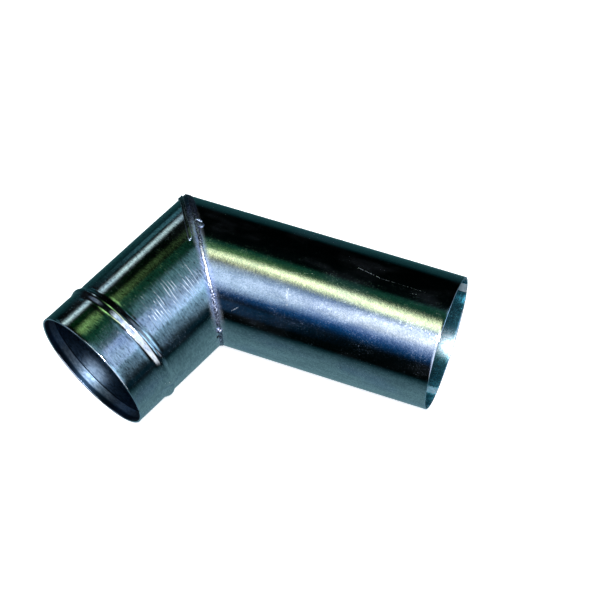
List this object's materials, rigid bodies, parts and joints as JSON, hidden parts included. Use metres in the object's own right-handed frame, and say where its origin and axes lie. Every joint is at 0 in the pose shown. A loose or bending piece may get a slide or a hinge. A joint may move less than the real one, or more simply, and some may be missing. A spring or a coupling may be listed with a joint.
{
  "type": "flue elbow",
  "caption": "Mitred flue elbow in thin galvanised steel: a short collar with a rolled stop bead, welded at a slant to a long plain tail, turning the flow by 67.5 degrees.",
  "frame": {"origin": "centre of the collar's mouth, on the collar's axis", "axes": "+X along the collar's axis into the elbow, so the collar's mouth faces -X; the bend lies in the XY plane and the tail turns towards -Y; +Z is square to the bend"},
  "size_m": [0.2339, 0.2462, 0.103],
  "materials": {
    "collar_sheet": "hot-dip galvanised sheet with fine spangle, scuffed round the tube",
    "tail_sheet": "bright hot-dip galvanised sheet with fine spangle and long scratches",
    "seam_weld": "narrow welded seam, dull grey",
    "mitre_weld": "rippled weld metal with pits, under cold zinc",
    "lip_sheet": "turned-up sheet edge, smooth and worn bright along its arrises"
  },
  "bodies": {
    "root": {"collar_tube": "collar_sheet", "tail_tube": "tail_sheet", "collar_seam": "seam_weld", "tail_seam": "seam_weld", "mitre_weld": "mitre_weld", "heel_lip": "lip_sheet", "heel_tack": "mitre_weld", "throat_tack": "mitre_weld"}
  },
  "joints": []
}
